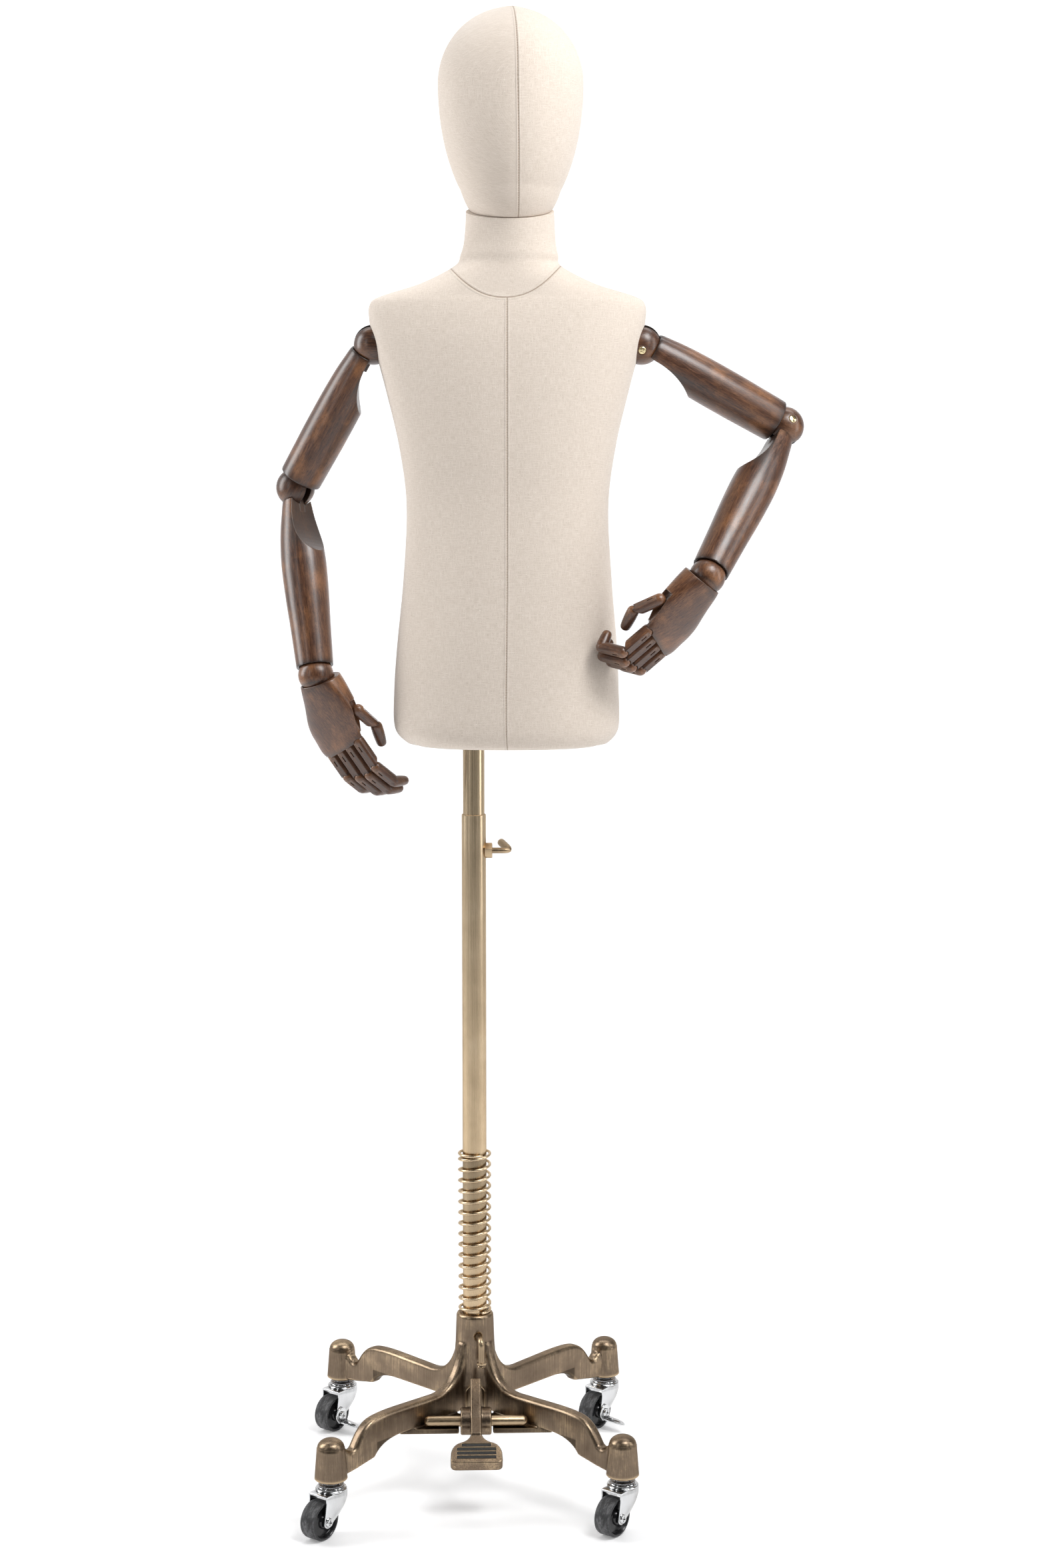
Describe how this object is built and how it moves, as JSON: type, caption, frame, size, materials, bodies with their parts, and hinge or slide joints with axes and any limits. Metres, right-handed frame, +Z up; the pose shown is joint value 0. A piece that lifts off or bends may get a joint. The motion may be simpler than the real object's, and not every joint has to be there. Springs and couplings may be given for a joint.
{
  "type": "articulated display mannequin",
  "caption": "Child-size linen-covered display torso with an egg head, jointed wooden arms and fingers, on a height-adjustable pole with a cast castor base and foot pedal.",
  "frame": {"origin": "centre of the footprint box, on the floor under the castor wheels", "axes": "+Z up, the front of the torso faces -Y, +X is the right side seen from the front"},
  "size_m": [0.5412, 0.3526, 1.5138],
  "materials": {
    "antique_brass": "satin",
    "satin_brass": "satin",
    "zinc_plate": "satin",
    "bare_steel": "satin",
    "black_rubber": "satin",
    "stained_wood": "satin",
    "linen": "matte",
    "padding": "matte"
  },
  "bodies": {
    "base": {"base_casting": "antique_brass", "pedal_shaft": "antique_brass", "spring": "satin_brass", "caster_stem_rr": "bare_steel", "caster_stem_rl": "bare_steel", "caster_stem_fl": "bare_steel", "caster_stem_fr": "bare_steel"},
    "pedal": {"pedal": "antique_brass"},
    "hub_screw": {"hub_lock_screw": "antique_brass"},
    "lower_pole": {"lower_pole": "satin_brass"},
    "pole_screw": {"pole_lock_screw": "satin_brass"},
    "upper_pole": {"upper_pole": "satin_brass"},
    "torso": {"torso_form": "padding", "torso_cover": "linen", "pole_socket": "bare_steel", "neck_peg": "stained_wood"},
    "head": {"head_form": "padding", "head_cover": "linen"},
    "caster_rr": {"caster_fork_rr": "zinc_plate"},
    "wheel_rr": {"caster_wheel_rr": "black_rubber"},
    "brake_rr": {"caster_brake_rr": "zinc_plate"},
    "caster_rl": {"caster_fork_rl": "zinc_plate"},
    "wheel_rl": {"caster_wheel_rl": "black_rubber"},
    "brake_rl": {"caster_brake_rl": "zinc_plate"},
    "caster_fl": {"caster_fork_fl": "zinc_plate"},
    "wheel_fl": {"caster_wheel_fl": "black_rubber"},
    "caster_fr": {"caster_fork_fr": "zinc_plate"},
    "wheel_fr": {"caster_wheel_fr": "black_rubber"},
    "shoulder_left": {"shoulder_ball_left": "stained_wood"},
    "upper_arm_left": {"upper_arm_left": "stained_wood"},
    "elbow_left": {"elbow_ball_left": "stained_wood"},
    "forearm_left": {"forearm_left": "stained_wood"},
    "wrist_left": {"wrist_ball_left": "stained_wood"},
    "hand_left": {"palm_left": "stained_wood"},
    "index_inner_left": {"finger_index_inner_left": "stained_wood"},
    "index_outer_left": {"finger_index_outer_left": "stained_wood"},
    "middle_inner_left": {"finger_middle_inner_left": "stained_wood"},
    "middle_outer_left": {"finger_middle_outer_left": "stained_wood"},
    "ring_inner_left": {"finger_ring_inner_left": "stained_wood"},
    "ring_outer_left": {"finger_ring_outer_left": "stained_wood"},
    "little_inner_left": {"finger_little_inner_left": "stained_wood"},
    "little_outer_left": {"finger_little_outer_left": "stained_wood"},
    "thumb_inner_left": {"thumb_inner_left": "stained_wood"},
    "thumb_outer_left": {"thumb_outer_left": "stained_wood"},
    "shoulder_right": {"shoulder_ball_right": "stained_wood"},
    "upper_arm_right": {"upper_arm_right": "stained_wood"},
    "elbow_right": {"elbow_ball_right": "stained_wood"},
    "forearm_right": {"forearm_right": "stained_wood"},
    "wrist_right": {"wrist_ball_right": "stained_wood"},
    "hand_right": {"palm_right": "stained_wood"},
    "index_inner_right": {"finger_index_inner_right": "stained_wood"},
    "index_outer_right": {"finger_index_outer_right": "stained_wood"},
    "middle_inner_right": {"finger_middle_inner_right": "stained_wood"},
    "middle_outer_right": {"finger_middle_outer_right": "stained_wood"},
    "ring_inner_right": {"finger_ring_inner_right": "stained_wood"},
    "ring_outer_right": {"finger_ring_outer_right": "stained_wood"},
    "little_inner_right": {"finger_little_inner_right": "stained_wood"},
    "little_outer_right": {"finger_little_outer_right": "stained_wood"},
    "thumb_inner_right": {"thumb_inner_right": "stained_wood"},
    "thumb_outer_right": {"thumb_outer_right": "stained_wood"}
  },
  "joints": [
    {"name": "pedal_press", "type": "hinge", "parent": "base", "child": "pedal", "pos_m": [-0.06512, -0.05894, 0.0846], "axis": [0.9995, 0.0314, 0], "range_deg": [0, 10], "stiffness_Nm_per_rad": 1.2, "springref_deg": -20.05},
    {"name": "hub_screw_turn", "type": "hinge", "parent": "base", "child": "hub_screw", "pos_m": [-0.06726, 0.00903, 0.158], "axis": [-0.2045, 0.9789, 0], "range_deg": [-180, 0]},
    {"name": "swivel_rr", "type": "hinge", "parent": "base", "child": "caster_rr", "pos_m": [0.07444, 0.15993, -0.002], "axis": [0, 0, 1], "continuous": true},
    {"name": "roll_rr", "type": "hinge", "parent": "caster_rr", "child": "wheel_rr", "pos_m": [0.06361, 0.14555, 0.0195], "axis": [-0.7986, 0.6018, 0], "continuous": true},
    {"name": "brake_rr", "type": "hinge", "parent": "caster_rr", "child": "brake_rr", "pos_m": [0.06361, 0.14555, 0.0195], "axis": [-0.7986, 0.6018, 0], "range_deg": [-18, 0]},
    {"name": "swivel_rl", "type": "hinge", "parent": "base", "child": "caster_rl", "pos_m": [-0.21816, 0.15073, -0.002], "axis": [0, 0, 1], "continuous": true},
    {"name": "roll_rl", "type": "hinge", "parent": "caster_rl", "child": "wheel_rl", "pos_m": [-0.22899, 0.13636, 0.0195], "axis": [-0.7986, 0.6018, 0], "continuous": true},
    {"name": "brake_rl", "type": "hinge", "parent": "caster_rl", "child": "brake_rl", "pos_m": [-0.22899, 0.13636, 0.0195], "axis": [-0.7986, 0.6018, 0], "range_deg": [-18, 0]},
    {"name": "swivel_fl", "type": "hinge", "parent": "base", "child": "caster_fl", "pos_m": [-0.20896, -0.14187, -0.002], "axis": [0, 0, 1], "continuous": true},
    {"name": "roll_fl", "type": "hinge", "parent": "caster_fl", "child": "wheel_fl", "pos_m": [-0.21979, -0.15624, 0.0195], "axis": [-0.7986, 0.6018, 0], "continuous": true},
    {"name": "swivel_fr", "type": "hinge", "parent": "base", "child": "caster_fr", "pos_m": [0.08364, -0.13267, -0.002], "axis": [0, 0, 1], "continuous": true},
    {"name": "roll_fr", "type": "hinge", "parent": "caster_fr", "child": "wheel_fr", "pos_m": [0.0728, -0.14705, 0.0195], "axis": [-0.7986, 0.6018, 0], "continuous": true},
    {"name": "pole_height", "type": "slide", "parent": "base", "child": "lower_pole", "axis": [0, 0, 1], "range_m": [-0.08, 0], "deforming": ["spring"]},
    {"name": "pole_screw_turn", "type": "hinge", "parent": "lower_pole", "child": "pole_screw", "pos_m": [-0.06726, 0.00903, 0.67], "axis": [1, 0, 0], "range_deg": [-180, 0]},
    {"name": "extension_height", "type": "slide", "parent": "lower_pole", "child": "upper_pole", "axis": [0, 0, 1], "range_m": [-0.06, 0.08]},
    {"name": "torso_turn", "type": "hinge", "parent": "upper_pole", "child": "torso", "pos_m": [-0.06726, 0.00903, 0.851], "axis": [0, 0, 1], "continuous": true},
    {"name": "head_turn", "type": "hinge", "parent": "torso", "child": "head", "pos_m": [-0.02926, -0.00097, 1.318], "axis": [0, -0.2588, 0.9659], "range_deg": [-90, 90]},
    {"name": "shoulder_swing_left", "type": "hinge", "parent": "torso", "child": "shoulder_left", "pos_m": [-0.16726, 0.00903, 1.1845], "axis": [-1, 0, 0], "range_deg": [-45, 150]},
    {"name": "shoulder_lift_left", "type": "hinge", "parent": "shoulder_left", "child": "upper_arm_left", "pos_m": [-0.16726, 0.00903, 1.1845], "axis": [0, -0.9584, -0.2855], "range_deg": [-85, 1]},
    {"name": "elbow_twist_left", "type": "hinge", "parent": "upper_arm_left", "child": "elbow_left", "pos_m": [-0.25088, 0.05161, 1.04154], "axis": [-0.489, 0.249, -0.836], "range_deg": [-60, 90]},
    {"name": "elbow_bend_left", "type": "hinge", "parent": "elbow_left", "child": "forearm_left", "pos_m": [-0.25088, 0.05161, 1.04154], "axis": [-0.652, -0.741, 0.1606], "range_deg": [-43, 2]},
    {"name": "wrist_twist_left", "type": "hinge", "parent": "forearm_left", "child": "wrist_left", "pos_m": [-0.22687, -0.0104, 0.85292], "axis": [0.12, -0.31, -0.9431], "range_deg": [-90, 90]},
    {"name": "wrist_bend_left", "type": "hinge", "parent": "wrist_left", "child": "hand_left", "pos_m": [-0.22687, -0.0104, 0.85292], "axis": [0.4586, 0.8211, 0.3399], "range_deg": [-12, 14]},
    {"name": "knuckle_index_left", "type": "hinge", "parent": "hand_left", "child": "index_inner_left", "pos_m": [-0.18449, -0.006, 0.78512], "axis": [0.69, -0.57, 0.446], "range_deg": [0, 25]},
    {"name": "middle_index_left", "type": "hinge", "parent": "index_inner_left", "child": "index_outer_left", "pos_m": [-0.16601, -0.00501, 0.7578], "axis": [0.69, -0.57, 0.446], "range_deg": [-24, 60]},
    {"name": "knuckle_middle_left", "type": "hinge", "parent": "hand_left", "child": "middle_inner_left", "pos_m": [-0.19346, 0.00141, 0.77933], "axis": [0.69, -0.57, 0.446], "range_deg": [0, 60]},
    {"name": "middle_middle_left", "type": "hinge", "parent": "middle_inner_left", "child": "middle_outer_left", "pos_m": [-0.1733, 0.00249, 0.74952], "axis": [0.69, -0.57, 0.446], "range_deg": [-24, 60]},
    {"name": "knuckle_ring_left", "type": "hinge", "parent": "hand_left", "child": "ring_inner_left", "pos_m": [-0.20243, 0.00882, 0.77353], "axis": [0.69, -0.57, 0.446], "range_deg": [0, 60]},
    {"name": "middle_ring_left", "type": "hinge", "parent": "ring_inner_left", "child": "ring_outer_left", "pos_m": [-0.18395, 0.00981, 0.7462], "axis": [0.69, -0.57, 0.446], "range_deg": [-24, 60]},
    {"name": "knuckle_little_left", "type": "hinge", "parent": "hand_left", "child": "little_inner_left", "pos_m": [-0.2114, 0.01623, 0.76773], "axis": [0.69, -0.57, 0.446], "range_deg": [0, 60]},
    {"name": "middle_little_left", "type": "hinge", "parent": "little_inner_left", "child": "little_outer_left", "pos_m": [-0.19628, 0.01704, 0.74537], "axis": [0.69, -0.57, 0.446], "range_deg": [-24, 60]},
    {"name": "thumb_base_left", "type": "hinge", "parent": "hand_left", "child": "thumb_inner_left", "pos_m": [-0.18409, -0.01604, 0.81764], "axis": [-0.3262, 0.8585, 0.3956], "range_deg": [-18, 0]},
    {"name": "thumb_tip_left", "type": "hinge", "parent": "thumb_inner_left", "child": "thumb_outer_left", "pos_m": [-0.16609, -0.00069, 0.79919], "axis": [-0.3262, 0.8585, 0.3956], "range_deg": [-25, 10]},
    {"name": "shoulder_swing_right", "type": "hinge", "parent": "torso", "child": "shoulder_right", "pos_m": [0.10274, 0.00903, 1.1845], "axis": [1, 0, 0], "range_deg": [-150, 0]},
    {"name": "shoulder_lift_right", "type": "hinge", "parent": "shoulder_right", "child": "upper_arm_right", "pos_m": [0.10274, 0.00903, 1.1845], "axis": [0, 0.9408, 0.3389], "range_deg": [-55, 0]},
    {"name": "elbow_twist_right", "type": "hinge", "parent": "upper_arm_right", "child": "elbow_right", "pos_m": [0.25066, 0.0381, 1.10378], "axis": [0.865, 0.17, -0.472], "range_deg": [-90, 0]},
    {"name": "elbow_bend_right", "type": "hinge", "parent": "elbow_right", "child": "forearm_right", "pos_m": [0.25066, 0.0381, 1.10378], "axis": [-0.3722, 0.8484, -0.3765], "range_deg": [-90, 0]},
    {"name": "wrist_twist_right", "type": "hinge", "parent": "forearm_right", "child": "wrist_right", "pos_m": [0.16579, -0.06515, 0.955], "axis": [-0.4244, -0.5162, -0.7439], "range_deg": [-90, 20]},
    {"name": "wrist_bend_right", "type": "hinge", "parent": "wrist_right", "child": "hand_right", "pos_m": [0.16579, -0.06515, 0.955], "axis": [-0.5351, 0.6934, 0.4826], "range_deg": [-14, 14]},
    {"name": "knuckle_index_right", "type": "hinge", "parent": "hand_right", "child": "index_inner_right", "pos_m": [0.10652, -0.07391, 0.90187], "axis": [0.3745, 0.7068, -0.6002], "range_deg": [0, 30]},
    {"name": "middle_index_right", "type": "hinge", "parent": "index_inner_right", "child": "index_outer_right", "pos_m": [0.08153, -0.07854, 0.88082], "axis": [0.3745, 0.7068, -0.6002], "range_deg": [-64, 12]},
    {"name": "knuckle_middle_right", "type": "hinge", "parent": "hand_right", "child": "middle_inner_right", "pos_m": [0.11139, -0.06472, 0.89407], "axis": [0.3745, 0.7068, -0.6002], "range_deg": [0, 15]},
    {"name": "middle_middle_right", "type": "hinge", "parent": "middle_inner_right", "child": "middle_outer_right", "pos_m": [0.08413, -0.06977, 0.87111], "axis": [0.3745, 0.7068, -0.6002], "range_deg": [-64, 12]},
    {"name": "knuckle_ring_right", "type": "hinge", "parent": "hand_right", "child": "ring_inner_right", "pos_m": [0.11626, -0.05553, 0.88627], "axis": [0.3745, 0.7068, -0.6002], "range_deg": [0, 30]},
    {"name": "middle_ring_right", "type": "hinge", "parent": "ring_inner_right", "child": "ring_outer_right", "pos_m": [0.09127, -0.06016, 0.86522], "axis": [0.3745, 0.7068, -0.6002], "range_deg": [-64, 12]},
    {"name": "knuckle_little_right", "type": "hinge", "parent": "hand_right", "child": "little_inner_right", "pos_m": [0.12113, -0.04634, 0.87847], "axis": [0.3745, 0.7068, -0.6002], "range_deg": [0, 30]},
    {"name": "middle_little_right", "type": "hinge", "parent": "little_inner_right", "child": "little_outer_right", "pos_m": [0.10068, -0.05013, 0.86124], "axis": [0.3745, 0.7068, -0.6002], "range_deg": [-64, 12]},
    {"name": "thumb_base_right", "type": "hinge", "parent": "hand_right", "child": "thumb_inner_right", "pos_m": [0.11768, -0.08252, 0.93285], "axis": [-0.0314, -0.8126, -0.582], "range_deg": [-18, 0]},
    {"name": "thumb_tip_right", "type": "hinge", "parent": "thumb_inner_right", "child": "thumb_outer_right", "pos_m": [0.09204, -0.07282, 0.92068], "axis": [-0.0314, -0.8126, -0.582], "range_deg": [-25, 10]}
  ]
}
